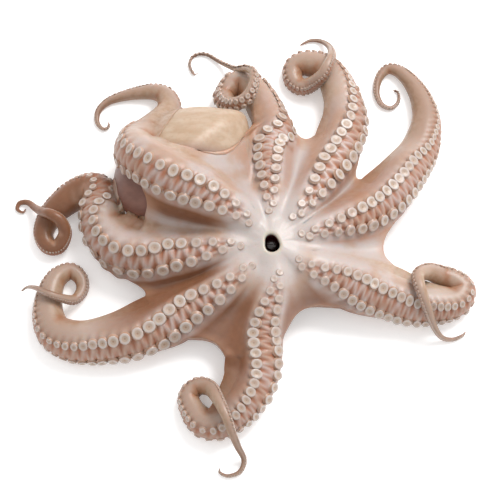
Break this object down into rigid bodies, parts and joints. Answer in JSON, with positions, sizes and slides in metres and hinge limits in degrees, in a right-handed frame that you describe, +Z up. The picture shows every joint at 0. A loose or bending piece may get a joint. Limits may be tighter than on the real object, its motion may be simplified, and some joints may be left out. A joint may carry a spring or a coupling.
{
  "type": "whole raw octopus",
  "caption": "Whole raw octopus lying on its back with the mouth side up, its suckered arms spread and curled at the tips, and its mantle sac tucked under one arm.",
  "frame": {"origin": "middle of the part's overall width and depth, at table height", "axes": "+Z up, the way the mouth faces; +Y away from the viewer of the picture, towards the arm at twelve o'clock; +X to the viewer's right"},
  "size_m": [0.478, 0.4916, 0.1032],
  "materials": {
    "flesh": "wet satin",
    "beak_horn": "gloss"
  },
  "bodies": {
    "root": {"octopus": "flesh", "beak_upper": "beak_horn", "beak_lower": "beak_horn"}
  },
  "joints": []
}
